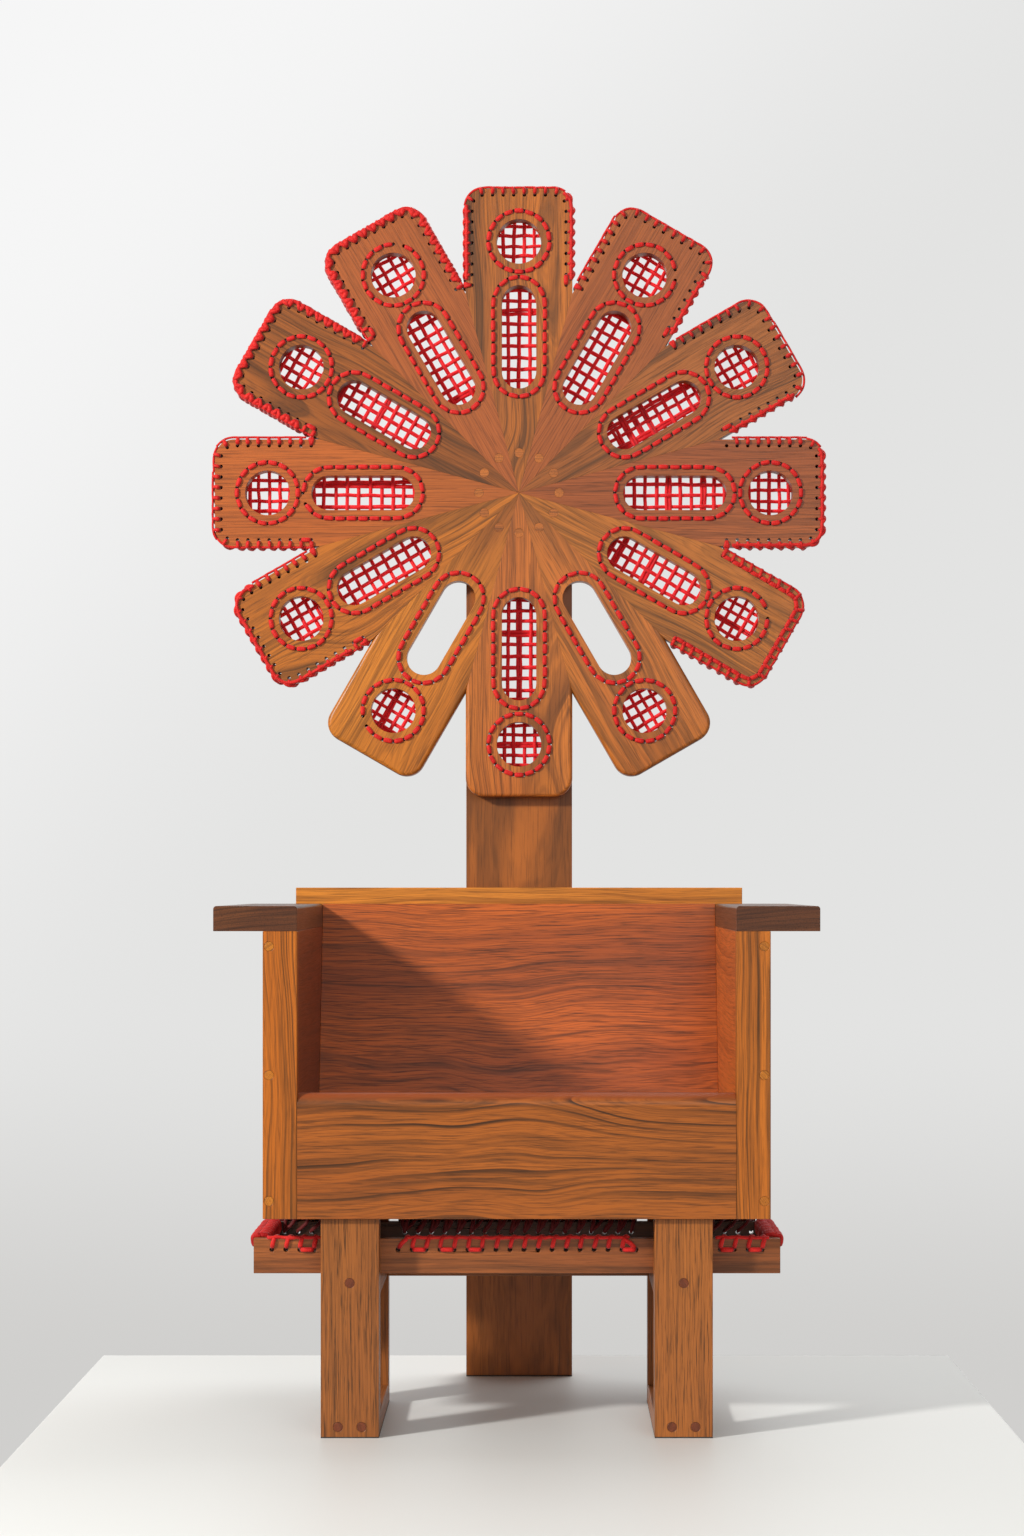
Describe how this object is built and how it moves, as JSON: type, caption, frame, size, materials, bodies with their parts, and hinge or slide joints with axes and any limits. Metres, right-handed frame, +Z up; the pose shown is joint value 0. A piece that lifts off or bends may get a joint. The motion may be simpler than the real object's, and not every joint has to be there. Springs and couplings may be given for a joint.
{
  "type": "peacock chair",
  "caption": "Boxed wooden armchair on two leg frames, with a wheel of petals on a tall rear plank, each petal pierced, netted and edged with red cord, and a laced tray under the seat.",
  "frame": {"origin": "on the floor, at the middle of the chair's bounding box across and in depth", "axes": "+X to the right seen from the front, +Y from the front of the seat to the plank behind, +Z up"},
  "size_m": [0.8752, 0.538, 1.6996],
  "materials": {
    "petal_wood": "satin oiled hardwood with dark figure",
    "plank_wood": "satin oiled hardwood, dark brown",
    "stile_wood": "satin oiled hardwood, golden brown with dark streaks",
    "front_wood": "satin oiled hardwood with wavy dark bands",
    "panel_wood": "satin oiled hardwood, reddish brown",
    "strip_wood": "satin oiled hardwood, pale with straight grain",
    "arm_wood": "satin oiled hardwood, dark end grain",
    "leg_wood": "satin oiled hardwood with fine straight grain",
    "tray_wood": "satin oiled hardwood",
    "peg_wood": "end grain of hardwood pegs, satin",
    "cord": "matt braided cord, bright red",
    "felt": "matt felt"
  },
  "bodies": {
    "root": {"petal_01": "petal_wood", "petal_02": "petal_wood", "petal_03": "petal_wood", "petal_04": "petal_wood", "petal_05": "petal_wood", "petal_06": "petal_wood", "petal_07": "petal_wood", "petal_08": "petal_wood", "petal_09": "petal_wood", "petal_10": "petal_wood", "petal_11": "petal_wood", "petal_12": "petal_wood", "lacing_01": "cord", "lacing_02": "cord", "lacing_03": "cord", "lacing_04": "cord", "lacing_08": "cord", "lacing_09": "cord", "lacing_10": "cord", "lacing_11": "cord", "lacing_12": "cord", "round_nets": "cord", "slot_nets": "cord", "ring_stitches": "cord", "tray_lacing": "cord", "back_plank": "plank_wood", "fan_dowels": "peg_wood", "front_board": "front_wood", "left_stile": "stile_wood", "left_outer_side": "stile_wood", "left_inner_side": "panel_wood", "left_arm": "arm_wood", "left_front_post": "leg_wood", "left_rear_post": "leg_wood", "left_runner": "leg_wood", "left_side_rail": "leg_wood", "right_stile": "stile_wood", "right_outer_side": "stile_wood", "right_inner_side": "panel_wood", "right_arm": "arm_wood", "right_front_post": "leg_wood", "right_rear_post": "leg_wood", "right_runner": "leg_wood", "right_side_rail": "leg_wood", "back_board": "strip_wood", "back_panel": "panel_wood", "seat_panel": "front_wood", "bottom_panel": "leg_wood", "seat_cleats": "strip_wood", "stile_pegs": "peg_wood", "plank_pegs": "peg_wood", "leg_pegs": "peg_wood", "cross_stretcher": "leg_wood", "foot_pads": "felt", "tray_front": "tray_wood", "tray_back": "tray_wood", "tray_left": "tray_wood", "tray_right": "tray_wood"}
  },
  "joints": []
}
